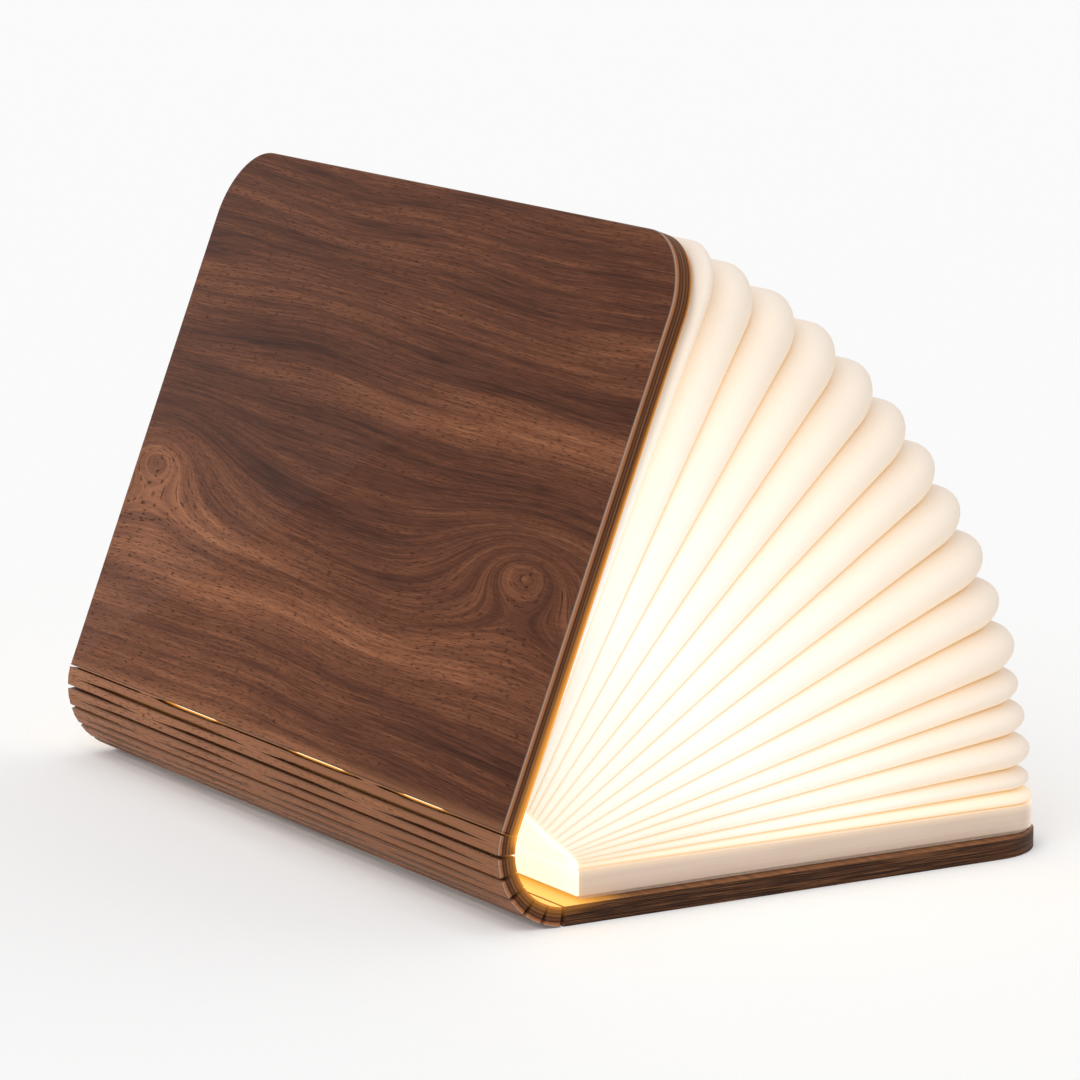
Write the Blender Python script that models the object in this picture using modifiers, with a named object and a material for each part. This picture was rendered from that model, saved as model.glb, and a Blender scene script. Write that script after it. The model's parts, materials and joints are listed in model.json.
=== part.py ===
"""Folding book lamp: two plywood covers, a kerf-cut wooden spine and a fan of paper folds.

The back cover lies flat and the front cover stands open over it. X runs from the spine to the
fore edge, Y along the spine and Z up. The origin is under the middle of the whole lamp.
Every kerf of the spine is a hinge line at mid thickness. Each paper fold opens about one of
them, so the fan opens and closes with the spine. All lengths are in metres.
"""

import math

import bmesh
import bpy
from mathutils import Matrix, Vector

# Covers
cover_length = 0.215
cover_width = 0.1388
cover_thickness = 0.0046
cover_corner_radius = 0.0183
open_angle = math.radians(68.8)
full_angle = math.radians(360)

# Spine: narrow strips with a kerf between each two, left joined by short bridges of wood
strip_pitch = 0.00236
kerf_clearance = 0.0001
bridge_length = 0.0050
bridge_thickness = 0.0010
bridge_gap = 0.0003
bridge_root = 0.0004
bridge_end_overrun = 0.0002
end_open_kerf_shares = (0.25, 0.75)
closed_kerf_shares = (0.0, 0.5, 1.0)

# Space that seated pieces keep to each other
seat_gap = 0.0003

# Page block on the back cover, which holds the battery and the charging board
page_spine_setback = 0.0055
page_fore_inset = 0.0030
page_end_inset = 0.0030
page_corner_radius = 0.0140
block_height = 0.0058
block_wall = 0.0012
endpaper_thickness = 0.0005

# Paper folds. Each row is one kerf of the spine, with the shares of the whole opening that the
# folds at this kerf take, from the bottom up
paper_thickness = 0.0003
fold_gap = 0.0003
fold_width = 0.1300
fold_half_length = 0.1030
fold_corner_radius = 0.0135
fold_bulge = 0.0035
fold_start_bulge_share = 0.05
fold_edge_limit_share = 0.25
front_fold_gap = 0.0003
kerf_fold_shares = (
    (1.0, 1.9, 3.4),
    (3.3, 3.3),
    (4.9,),
    (4.7,),
    (5.2,),
    (5.2,),
    (5.3,),
    (5.4,),
    (5.6,),
    (5.7,),
    (5.6,),
    (5.7,),
    (2.6,),
)
fold_stack_shares = (2.4, 2.0, 1.6, 1.3, 1, 1, 1, 1, 1, 1, 1, 1, 1, 1, 1, 3)
fold_profile_steps = 6
fold_corner_steps = 5

# Magnets in the covers
magnet_radius = 0.0040
magnet_height = 0.0020
magnet_clearance = 0.0002
magnet_fore_inset = 0.0130
magnet_end_inset = 0.0300
switch_magnet_radius = 0.0025
switch_magnet_height = 0.0015

# Light board on the page block, inside the folds
led_board_width = 0.0080
led_board_length = 0.1760
led_board_thickness = 0.0010
led_board_setback = 0.0060
led_count = 6
led_size = 0.0030
led_height = 0.0008

# Battery, charging board and what is on it, inside the page block
battery_width = 0.0560
battery_length = 0.0800
battery_spine_inset = 0.0460
battery_side = 0.0150
board_width = 0.0240
board_length = 0.0400
board_thickness = 0.0010
board_spine_inset = 0.0030
board_wall_gap = 0.0070
sensor_width = 0.0030
sensor_height = 0.0010
sensor_spine_inset = 0.0043
sensor_end_inset = 0.0057
socket_width = 0.0075
socket_height = 0.0026
socket_shell = 0.0003
socket_depth = 0.0045
socket_overhang = 0.0066
socket_board_overlap = 0.0010
socket_spine_inset = 0.0100
socket_hole_clearance = 0.0005
indicator_radius = 0.0008
indicator_offset = 0.0090
indicator_overlap = 0.0010
lead_radius = 0.0005
lead_spacing = 0.0020
lead_inset = 0.0040
light_lead_inset = 0.0163

# How finely round shapes are divided, and how far a cutter passes the face it cuts
corner_steps = 8
disc_steps = 24
lead_points = 9
cut_overrun = 0.0010

# What follows from the sizes above
hinge_count = len(kerf_fold_shares)
strip_count = hinge_count - 1
share_sum = sum(map(sum, kerf_fold_shares))
kerf_shares = [sum(shares) / share_sum for shares in kerf_fold_shares]
rest_step = (math.pi - open_angle) / hinge_count
rest_steps = [rest_step] * hinge_count
closed_steps = [rest_step + open_angle * share for share in kerf_shares]
full_steps = [rest_step - (full_angle - open_angle) * share for share in kerf_shares]
widest_step = max(max(closed_steps), -min(full_steps))
kerf_width = cover_thickness * math.tan(widest_step / 2) + kerf_clearance
strip_width = strip_pitch - kerf_width
half_kerf = kerf_width / 2
half_thickness = cover_thickness / 2
half_length = cover_length / 2
fold_count = sum(map(len, kerf_fold_shares))
page_depth = cover_width - page_spine_setback - page_fore_inset
page_half_length = half_length - page_end_inset
endpaper_bottom = cover_thickness + seat_gap
endpaper_top = endpaper_bottom + endpaper_thickness
block_bottom = endpaper_top + seat_gap
block_top = block_bottom + block_height
block_ceiling = block_top - block_wall
board_x = page_spine_setback + block_wall + board_spine_inset + board_width / 2
board_end = page_half_length - block_wall - board_wall_gap
board_y = board_end - board_length / 2
sensor_x = board_x - board_width / 2 + sensor_spine_inset
sensor_y = board_y - board_length / 2 + sensor_end_inset


def spine_chain(steps):
    """Hinge points (x, z) of the spine at mid thickness, when each hinge bends by its step."""
    points = [Vector((-half_kerf, half_thickness))]
    turn = 0.0
    for step in steps[:-1]:
        turn += step
        points.append(points[-1] + strip_pitch * Vector((-math.cos(turn), math.sin(turn))))
    return points


def strip_corner(point, turn, along, across):
    """World (x, z) of a corner of a spine piece, from its hinge point and its turn."""
    tangent = Vector((math.cos(turn), -math.sin(turn)))
    inward = Vector((math.sin(turn), math.cos(turn)))
    return point + tangent * along + inward * across


def spine_reach():
    """How far the open spine reaches towards -X."""
    chain = spine_chain(rest_steps)
    reach = []
    for index, point in enumerate(chain):
        turn = (index + 1) * rest_step
        for along in (-half_kerf, half_kerf - strip_pitch):
            reach.append(strip_corner(point, turn, along, -half_thickness).x)
    return min(reach)


def turned(vector, angle):
    """The (x, z) vector turned from X towards Z."""
    cosine = math.cos(angle)
    sine = math.sin(angle)
    return Vector((cosine * vector.x - sine * vector.y, sine * vector.x + cosine * vector.y))


def fold_chain():
    """Hinge points and crease lines of the paper folds as they stand open.

    Closed, the folds lie level between the page block and the front endpaper, each as thick as
    its stack share. Opening turns each fold from the one below it about the kerf it belongs to,
    by its share of the whole angle. Returns the hinge points, and for each crease its inner end
    and angle.
    """
    closed_points = spine_chain(closed_steps)
    rest_points = spine_chain(rest_steps)
    lowest = block_top + seat_gap
    closed_inner_face = closed_points[-1].y - half_thickness
    highest = closed_inner_face - seat_gap - endpaper_thickness - front_fold_gap
    rise = (highest - lowest) / sum(fold_stack_shares)
    thicknesses = iter(fold_stack_shares)
    hinges = []
    creases = [(Vector((page_spine_setback, lowest)), 0.0)]
    level = lowest
    angle = 0.0
    for closed_point, rest_point, shares in zip(closed_points, rest_points, kerf_fold_shares):
        for share in shares:
            level += rise * next(thicknesses)
            angle += open_angle * share / share_sum
            inner_end = Vector((page_spine_setback, level)) - closed_point
            hinges.append(rest_point)
            creases.append((rest_point + turned(inner_end, angle), angle))
    return hinges, creases


def new_collection(name):
    found = bpy.data.collections.new(name)
    bpy.context.scene.collection.children.link(found)
    return found


def clear_scene():
    for old in list(bpy.data.objects):
        bpy.data.objects.remove(old)


def make_material(name, colour, roughness, metallic=0.0):
    made = bpy.data.materials.new(name)
    made.use_nodes = True
    shader = made.node_tree.nodes["Principled BSDF"]
    shader.inputs["Base Color"].default_value = (*colour, 1.0)
    shader.inputs["Roughness"].default_value = roughness
    shader.inputs["Metallic"].default_value = metallic
    made.diffuse_color = (*colour, 1.0)
    return made


def add_empty(name, parent=None, location=(0, 0, 0), turn=0.0):
    """An empty that carries pieces: turn is its rotation about Y, from Z towards X."""
    made = bpy.data.objects.new(name, None)
    made.location = location
    made.rotation_euler = (0, turn, 0)
    made.parent = parent
    parts.objects.link(made)
    return made


def add_object(name, mesh, material, parent, location=(0, 0, 0)):
    made = bpy.data.objects.new(name, mesh)
    made.location = location
    made.parent = parent
    if material:
        mesh.materials.append(material)
    parts.objects.link(made)
    return made


def box_mesh(name, sizes):
    mesh = bpy.data.meshes.new(name)
    shape = bmesh.new()
    bmesh.ops.create_cube(shape, size=1)
    bmesh.ops.scale(shape, vec=sizes, verts=shape.verts)
    shape.to_mesh(mesh)
    shape.free()
    return mesh


def add_box(name, sizes, material, parent, location):
    return add_object(name, box_mesh(name, sizes), material, parent, location)


def add_disc(name, radius, height, material, parent, location, upright=True):
    mesh = bpy.data.meshes.new(name)
    shape = bmesh.new()
    turn = Matrix() if upright else Matrix.Rotation(math.pi / 2, 4, "X")
    bmesh.ops.create_cone(
        shape,
        cap_ends=True,
        segments=disc_steps,
        radius1=radius,
        radius2=radius,
        depth=height,
        matrix=turn,
    )
    shape.to_mesh(mesh)
    shape.free()
    mesh.shade_smooth()
    mesh.set_sharp_from_angle(angle=math.pi / 4)
    return add_object(name, mesh, material, parent, location)


def book_outline(start, depth, half_width, radius):
    """Corner points of a page or cover: square at the spine, rounded at the fore edge.

    It starts at x = start, and depth may be negative for a piece that reaches towards -X.
    """
    side = math.copysign(1, depth)
    points = [(start, -half_width)]
    for sign in (-1, 1):
        centre_x = start + depth - side * radius
        centre_y = sign * (half_width - radius)
        for step in range(corner_steps + 1):
            turn = sign * math.pi / 2 * (step if sign > 0 else corner_steps - step) / corner_steps
            points.append((centre_x + side * radius * math.cos(turn), centre_y + radius * math.sin(turn)))
    points.append((start, half_width))
    return points


def plate_mesh(name, outline, thickness):
    """A flat plate from a 2D curve, as a closed mesh centred on its thickness."""
    curve = bpy.data.curves.new(name + "_outline", "CURVE")
    curve.dimensions = "2D"
    curve.fill_mode = "BOTH"
    curve.extrude = thickness / 2
    spline = curve.splines.new("POLY")
    spline.points.add(len(outline) - 1)
    for point, place in zip(spline.points, outline):
        point.co = (*place, 0, 1)
    spline.use_cyclic_u = True
    drawn = bpy.data.objects.new(name + "_outline", curve)
    parts.objects.link(drawn)
    graph = bpy.context.evaluated_depsgraph_get()
    mesh = bpy.data.meshes.new_from_object(drawn.evaluated_get(graph))
    bpy.data.objects.remove(drawn)
    shape = bmesh.new()
    shape.from_mesh(mesh)
    bmesh.ops.remove_doubles(shape, verts=shape.verts, dist=kerf_clearance / 10)
    bmesh.ops.recalc_face_normals(shape, faces=shape.faces)
    shape.to_mesh(mesh)
    shape.free()
    mesh.name = name
    mesh.shade_smooth()
    mesh.set_sharp_from_angle(angle=math.pi / 6)
    return mesh


def add_plate(name, outline, thickness, material, parent, location):
    return add_object(name, plate_mesh(name, outline, thickness), material, parent, location)


def use_as_tool(tool):
    """Moves a helper piece to the cutters, so that it is no part of the lamp."""
    parts.objects.unlink(tool)
    cutters.objects.link(tool)
    tool.hide_render = True
    tool.display_type = "WIRE"
    return tool


def combine(piece, tool, operation):
    modifier = piece.modifiers.new(operation.title() + " " + tool.name, "BOOLEAN")
    modifier.object = use_as_tool(tool)
    modifier.operation = operation
    modifier.solver = "EXACT"


def add_bridges(piece, kerf_number):
    """Joins the short bridges of wood to the edge of a piece that faces its kerf.

    Kerfs with an odd number run out at both ends and have two bridges. The others are closed
    at both ends and at the middle. A thin gap is left to the piece on the other side.
    """
    shares = end_open_kerf_shares if kerf_number % 2 else closed_kerf_shares
    depth = kerf_width - bridge_gap
    centre_x = -half_kerf + (depth - bridge_root) / 2
    mesh = bpy.data.meshes.new(piece.name + "_bridges")
    shape = bmesh.new()
    for share in shares:
        room = half_length - bridge_length / 2 - bridge_end_overrun
        place = (centre_x, max(-room, min(room, (share - 0.5) * cover_length)), 0)
        added = bmesh.ops.create_cube(shape, size=1)["verts"]
        sizes = (depth + bridge_root, bridge_length, bridge_thickness)
        bmesh.ops.scale(shape, vec=sizes, verts=added)
        bmesh.ops.translate(shape, vec=place, verts=added)
    shape.to_mesh(mesh)
    shape.free()
    combine(piece, add_object(mesh.name, mesh, None, piece.parent, (0, 0, 0)), "UNION")


def cut_magnet_pocket(piece, magnet_name, centre, inner_face, radius, height):
    """Sinks a round pocket into the inner face of a cover and lays the magnet in it."""
    depth = height + seat_gap + magnet_clearance
    floor = inner_face - depth
    pocket_height = depth + cut_overrun
    pocket = add_disc(
        magnet_name + "_pocket",
        radius + magnet_clearance,
        pocket_height,
        None,
        piece.parent,
        (*centre, floor + pocket_height / 2),
    )
    combine(piece, pocket, "DIFFERENCE")
    add_disc(
        magnet_name,
        radius,
        height,
        magnet_metal,
        piece.parent,
        (*centre, floor + seat_gap + height / 2),
    )


def fold_stations():
    """Stations round one fold: depth along the page, place along Y, and the way it bulges."""
    stations = [(0.0, -fold_half_length, (0.0, -1.0))]
    for sign in (-1, 1):
        for step in range(fold_corner_steps + 1):
            share = step if sign > 0 else fold_corner_steps - step
            turn = sign * math.pi / 2 * share / fold_corner_steps
            out = (math.cos(turn), math.sin(turn))
            along = fold_width - fold_corner_radius + fold_corner_radius * out[0]
            across = sign * (fold_half_length - fold_corner_radius) + fold_corner_radius * out[1]
            stations.append((along, across, out))
    stations.append((0.0, fold_half_length, (0.0, 1.0)))
    return stations


def fold_mesh(name, lower, upper, origin):
    """The curved sheet of one fold between two creases, as a ring round the whole book.

    A point at share u between the creases lies on the line between them, pushed outwards by
    bulge * 4u(1 - u). The bulge grows with the distance from the spine.
    """
    lower_end, lower_angle = lower
    upper_end, upper_angle = upper
    start_pitch = (upper_end - lower_end).length
    mesh = bpy.data.meshes.new(name)
    shape = bmesh.new()
    rows = []
    for along, across, out in fold_stations():
        pitch = start_pitch + along * (upper_angle - lower_angle)
        margin = min(fold_gap / 2 / pitch, fold_edge_limit_share)
        bulge = fold_bulge * along / fold_width + fold_start_bulge_share * start_pitch
        row = []
        for step in range(fold_profile_steps + 1):
            u = margin + (1 - 2 * margin) * step / fold_profile_steps
            height = bulge * 4 * u * (1 - u)
            angle = lower_angle + u * (upper_angle - lower_angle)
            end = lower_end.lerp(upper_end, u)
            point = end + turned(Vector((along + height * out[0], 0)), angle)
            row.append(shape.verts.new((point.x - origin.x, across + height * out[1], point.y - origin.y)))
        rows.append(row)
    for index, row in enumerate(rows):
        following = rows[(index + 1) % len(rows)]
        for step in range(fold_profile_steps):
            shape.faces.new((row[step], following[step], following[step + 1], row[step + 1]))
    bmesh.ops.recalc_face_normals(shape, faces=shape.faces)
    shape.to_mesh(mesh)
    shape.free()
    mesh.shade_smooth()
    mesh.set_sharp_from_angle(angle=math.pi / 4)
    return mesh


def add_lead(name, route, material, parent):
    """A round wire through the route's points, laid as a smooth curve."""
    curve = bpy.data.curves.new(name, "CURVE")
    curve.dimensions = "3D"
    curve.bevel_depth = lead_radius
    curve.bevel_resolution = 2
    curve.use_fill_caps = True
    curve.materials.append(material)
    spline = curve.splines.new("POLY")
    spline.points.add(lead_points - 1)
    for index, point in enumerate(spline.points):
        point.co = (*route(index / (lead_points - 1)), 1)
    made = bpy.data.objects.new(name, curve)
    made.parent = parent
    parts.objects.link(made)
    return made


clear_scene()
parts = new_collection("Folding book lamp")
cutters = new_collection("Cutters")

walnut_ply = make_material("Walnut plywood", (0.114, 0.048, 0.027), 0.48)
fold_paper = make_material("Fold paper", (0.93, 0.86, 0.74), 0.6)
page_board = make_material("Page block board", (0.83, 0.76, 0.68), 0.55)
endpaper = make_material("Endpaper", (0.9, 0.87, 0.82), 0.6)
magnet_metal = make_material("Nickel plate", (0.62, 0.6, 0.57), 0.28, 1.0)
board_white = make_material("White circuit board", (0.85, 0.86, 0.84), 0.4)
board_green = make_material("Green circuit board", (0.02, 0.14, 0.06), 0.4)
led_package = make_material("Light chip", (1.0, 0.86, 0.45), 0.35)
battery_foil = make_material("Battery foil", (0.55, 0.56, 0.58), 0.3, 1.0)
socket_steel = make_material("Socket steel", (0.7, 0.7, 0.7), 0.25, 1.0)
chip_black = make_material("Black plastic", (0.03, 0.03, 0.03), 0.45)
indicator_lens = make_material("Indicator lens", (0.8, 0.12, 0.08), 0.2)
red_lead = make_material("Red lead", (0.6, 0.03, 0.03), 0.45)
black_lead = make_material("Black lead", (0.02, 0.02, 0.02), 0.45)

# The lamp hangs on one empty, which puts the origin under its middle
root = add_empty("lamp_root", location=(-(spine_reach() + cover_width) / 2, 0, 0))

# Back cover
back_cover = add_plate(
    "back_cover",
    book_outline(0, cover_width, half_length, cover_corner_radius),
    cover_thickness,
    walnut_ply,
    root,
    (0, 0, half_thickness),
)

# Spine strips, each carried by the one before it through its hinge
carrier = root
carrier_place = (-half_kerf, 0, half_thickness)
for number in range(1, strip_count + 1):
    carrier = add_empty("spine_hinge_%02d" % number, carrier, carrier_place, rest_step)
    carrier_place = (-strip_pitch, 0, 0)
    strip = add_object(
        "spine_strip_%02d" % number,
        box_mesh("spine_strip_%02d" % number, (strip_width, cover_length, cover_thickness)),
        walnut_ply,
        carrier,
    )
    for vertex in strip.data.vertices:
        vertex.co.x -= strip_pitch / 2
    add_bridges(strip, number)

# Front cover, on the last hinge of the spine. Its inner face is at +Z of that hinge
front_hinge = add_empty("spine_hinge_%02d" % hinge_count, carrier, carrier_place, rest_step)
front_cover = add_plate(
    "front_cover",
    book_outline(-half_kerf, -cover_width, half_length, cover_corner_radius),
    cover_thickness,
    walnut_ply,
    front_hinge,
    (0, 0, 0),
)
add_bridges(front_cover, hinge_count)

# Endpapers and the hollow page block
page_outline = book_outline(page_spine_setback, page_depth, page_half_length, page_corner_radius)
add_plate(
    "back_endpaper",
    page_outline,
    endpaper_thickness,
    endpaper,
    root,
    (0, 0, endpaper_bottom + endpaper_thickness / 2),
)
add_plate(
    "front_endpaper",
    book_outline(-half_kerf - page_spine_setback, -page_depth, page_half_length, page_corner_radius),
    endpaper_thickness,
    endpaper,
    front_hinge,
    (0, 0, half_thickness + seat_gap + endpaper_thickness / 2),
)
page_block = add_plate(
    "page_block",
    page_outline,
    block_height,
    page_board,
    root,
    (0, 0, block_bottom + block_height / 2),
)
hollow_height = block_height - block_wall + cut_overrun
block_hollow = add_plate(
    "block_hollow",
    book_outline(
        page_spine_setback + block_wall,
        page_depth - 2 * block_wall,
        page_half_length - block_wall,
        page_corner_radius - block_wall,
    ),
    hollow_height,
    None,
    root,
    (0, 0, block_ceiling - hollow_height / 2),
)
combine(page_block, block_hollow, "DIFFERENCE")

# Magnets that hold the open lamp's covers together, near the corners of the fore edge
magnet_y = half_length - magnet_end_inset
for side, sign in (("near", -1), ("far", 1)):
    cut_magnet_pocket(
        back_cover,
        "back_magnet_" + side,
        (cover_width - magnet_fore_inset, sign * magnet_y),
        cover_thickness,
        magnet_radius,
        magnet_height,
    )
    cut_magnet_pocket(
        front_cover,
        "front_magnet_" + side,
        (magnet_fore_inset - cover_width - half_kerf, sign * magnet_y),
        half_thickness,
        magnet_radius,
        magnet_height,
    )
cut_magnet_pocket(
    front_cover,
    "switch_magnet",
    (-half_kerf - sensor_x, sensor_y),
    half_thickness,
    switch_magnet_radius,
    switch_magnet_height,
)

# Paper folds
fold_hinges, creases = fold_chain()
carrier = root
carrier_point = Vector((0, 0))
for number in range(1, fold_count + 1):
    hinge_point = fold_hinges[number - 1]
    step = hinge_point - carrier_point
    carrier = add_empty("fold_hinge_%02d" % number, carrier, (step.x, 0, step.y))
    carrier_point = hinge_point
    name = "page_fold_%02d" % number
    fold = add_object(
        name,
        fold_mesh(name, creases[number - 1], creases[number], hinge_point),
        fold_paper,
        carrier,
    )
    thicken = fold.modifiers.new("Paper", "SOLIDIFY")
    thicken.thickness = paper_thickness
    thicken.offset = -1

# Light board on the page block, with its row of light chips
led_board_x = page_spine_setback + led_board_setback + led_board_width / 2
led_board_bottom = block_top + seat_gap
add_box(
    "led_board",
    (led_board_width, led_board_length, led_board_thickness),
    board_white,
    root,
    (led_board_x, 0, led_board_bottom + led_board_thickness / 2),
)
led_bottom = led_board_bottom + led_board_thickness + seat_gap
for number in range(1, led_count + 1):
    place = (number - 0.5) / led_count - 0.5
    add_box(
        "led_%d" % number,
        (led_size, led_size, led_height),
        led_package,
        root,
        (led_board_x, place * led_board_length, led_bottom + led_height / 2),
    )

# Battery in the page block
chamber_floor = block_bottom
battery_height = block_ceiling - seat_gap - chamber_floor
battery_x = page_spine_setback + battery_spine_inset + battery_width / 2
battery_y = -battery_side
add_box(
    "battery_cell",
    (battery_width, battery_length, battery_height),
    battery_foil,
    root,
    (battery_x, battery_y, chamber_floor + battery_height / 2),
)

# Charging board at the far end of the page block, with its socket, sensor and indicator.
# The sensor lies under the small magnet of the front cover when the lamp is shut
board_top = chamber_floor + board_thickness
add_box(
    "charging_board",
    (board_width, board_length, board_thickness),
    board_green,
    root,
    (board_x, board_y, chamber_floor + board_thickness / 2),
)
add_box(
    "closing_sensor",
    (sensor_width, sensor_width, sensor_height),
    chip_black,
    root,
    (sensor_x, sensor_y, board_top + seat_gap + sensor_height / 2),
)
socket_length = socket_overhang + socket_board_overlap
socket_x = page_spine_setback + block_wall + socket_spine_inset
socket_y = board_end - socket_board_overlap + socket_length / 2
socket_z = board_top + seat_gap + socket_height / 2
charging_socket = add_box(
    "charging_socket",
    (socket_width, socket_length, socket_height),
    socket_steel,
    root,
    (socket_x, socket_y, socket_z),
)
socket_mouth = add_box(
    "socket_mouth",
    (socket_width - 2 * socket_shell, socket_depth + cut_overrun, socket_height - 2 * socket_shell),
    None,
    root,
    (socket_x, socket_y + (socket_length - socket_depth + cut_overrun) / 2, socket_z),
)
combine(charging_socket, socket_mouth, "DIFFERENCE")
socket_hole = add_box(
    "socket_hole",
    (
        socket_width + 2 * socket_hole_clearance,
        block_wall + 2 * cut_overrun,
        socket_height + 2 * socket_hole_clearance,
    ),
    None,
    root,
    (socket_x, page_half_length - block_wall / 2, socket_z),
)
combine(page_block, socket_hole, "DIFFERENCE")
indicator_z = board_top + seat_gap + indicator_radius
indicator_length = socket_overhang + indicator_overlap
indicator_x = socket_x + indicator_offset
add_disc(
    "charge_indicator",
    indicator_radius,
    indicator_length,
    indicator_lens,
    root,
    (indicator_x, board_end - indicator_overlap + indicator_length / 2, indicator_z),
    upright=False,
)
indicator_hole = add_disc(
    "indicator_hole",
    indicator_radius + magnet_clearance,
    block_wall + 2 * cut_overrun,
    None,
    root,
    (indicator_x, page_half_length - block_wall / 2, indicator_z),
    upright=False,
)
combine(page_block, indicator_hole, "DIFFERENCE")

# Leads from the battery to the charging board, and from there to the light board
battery_end = battery_y + battery_length / 2 + seat_gap
battery_corner_x = battery_x - battery_width / 2 + lead_inset
board_edge_x = board_x + board_width / 2 - lead_inset
light_lead_y = board_end - light_lead_inset


def battery_route(offset):
    """A lead leaves the battery's far end, turns over and lands on the charging board."""
    start = Vector((battery_corner_x + offset, battery_end, chamber_floor + battery_height / 2))
    stop = Vector((board_edge_x, board_y + offset, board_top + seat_gap + lead_radius))
    corner = Vector((start.x, stop.y, start.z))

    def place(share):
        first = start.lerp(corner, share)
        second = corner.lerp(stop, share)
        return first.lerp(second, share)

    return place


def light_route(offset):
    """A lead rises from the charging board through the page block to the light board."""
    foot = Vector((led_board_x + offset, light_lead_y, board_top + seat_gap))
    head = Vector((led_board_x + offset, light_lead_y, led_board_bottom - seat_gap))

    def place(share):
        return foot.lerp(head, share)

    return place


for colour, material, side in (("red", red_lead, -1), ("black", black_lead, 1)):
    offset = side * lead_spacing / 2
    add_lead("battery_lead_" + colour, battery_route(offset), material, root)
    add_lead("light_lead_" + colour, light_route(offset), material, root)
    hole = add_disc(
        "light_lead_hole_" + colour,
        lead_radius + magnet_clearance,
        block_wall + 2 * cut_overrun,
        None,
        root,
        (led_board_x + offset, light_lead_y, block_top - block_wall / 2),
    )
    combine(page_block, hole, "DIFFERENCE")
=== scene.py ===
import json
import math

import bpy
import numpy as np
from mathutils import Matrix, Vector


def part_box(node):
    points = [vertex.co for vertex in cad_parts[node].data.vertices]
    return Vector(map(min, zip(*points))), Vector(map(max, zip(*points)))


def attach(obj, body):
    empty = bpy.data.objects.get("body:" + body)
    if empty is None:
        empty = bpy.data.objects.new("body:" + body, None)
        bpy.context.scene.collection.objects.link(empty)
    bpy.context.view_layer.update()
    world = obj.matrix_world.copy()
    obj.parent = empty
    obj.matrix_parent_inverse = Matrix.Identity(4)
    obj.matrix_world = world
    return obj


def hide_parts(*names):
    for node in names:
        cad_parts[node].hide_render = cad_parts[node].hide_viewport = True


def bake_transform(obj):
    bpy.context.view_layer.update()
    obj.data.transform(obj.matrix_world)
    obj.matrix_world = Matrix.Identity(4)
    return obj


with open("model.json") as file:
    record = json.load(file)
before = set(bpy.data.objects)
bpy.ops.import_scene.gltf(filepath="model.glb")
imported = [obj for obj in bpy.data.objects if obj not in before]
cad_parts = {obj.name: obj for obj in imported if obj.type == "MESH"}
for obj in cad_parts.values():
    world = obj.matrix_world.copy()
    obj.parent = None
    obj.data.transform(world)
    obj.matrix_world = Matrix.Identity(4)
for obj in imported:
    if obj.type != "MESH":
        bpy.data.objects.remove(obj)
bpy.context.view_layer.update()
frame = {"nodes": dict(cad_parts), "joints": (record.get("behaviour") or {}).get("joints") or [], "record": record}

# %% [markdown]
# # A folding book lamp
# The lamp is a wooden book. Its two covers and its spine are one sheet of walnut plywood, and a
# bellows of paper folds fans out between the covers and glows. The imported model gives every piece
# its place and its motion. This file gives the pieces their final surfaces and finishes, and a
# small studio to look at them in. All lengths are in metres.

nodes = frame["nodes"]

# %% [markdown]
# ## Camera
# A long lens stands low in front of the lamp and to its left, so that the front cover fills the
# left of the picture and the paper fan the right. The lens and the place were worked out from the
# corners of the covers, so they are numbers here.

# %% Camera
camera_place = (-0.6755, -1.1162, 0.3067)
camera_turn = math.radians(31.11)
camera_dip = math.radians(10.48)
camera_roll = math.radians(0.05)
focal_share = 5431 / 1080
sensor_width = 36.0

camera_data = bpy.data.cameras.new("photo_camera")
camera_data.sensor_width = sensor_width
camera_data.lens = focal_share * sensor_width
camera = bpy.data.objects.new("photo_camera", camera_data)
camera.location = camera_place
camera.rotation_euler = (math.pi / 2 - camera_dip, camera_roll, -camera_turn)
bpy.context.scene.collection.objects.link(camera)
bpy.context.scene.camera = camera
print("lens:", round(camera_data.lens, 1), "mm")

# %% [markdown]
# ## Writing a material as a sum
# A finish on this lamp is a calculation: the depth in the plywood picks a layer, the distance to a
# crease darkens the paper. The class below wraps a socket so that plus, minus, times and divide
# add the Math nodes, and one method adds every other kind of node.

# %% Finish and Shade
class Shade:
    """A value on its way through a finish. Its operators add Math nodes."""

    def __init__(self, finish, socket):
        self.finish = finish
        self.socket = socket

    def __add__(self, other):
        return self.finish.math("ADD", self, other)

    def __sub__(self, other):
        return self.finish.math("SUBTRACT", self, other)

    def __rsub__(self, other):
        return self.finish.math("SUBTRACT", other, self)

    def __mul__(self, other):
        return self.finish.math("MULTIPLY", self, other)

    def __truediv__(self, other):
        return self.finish.math("DIVIDE", self, other)

    def __rtruediv__(self, other):
        return self.finish.math("DIVIDE", other, self)

    def __pow__(self, other):
        return self.finish.math("POWER", self, other)

    __radd__ = __add__
    __rmul__ = __mul__


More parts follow.
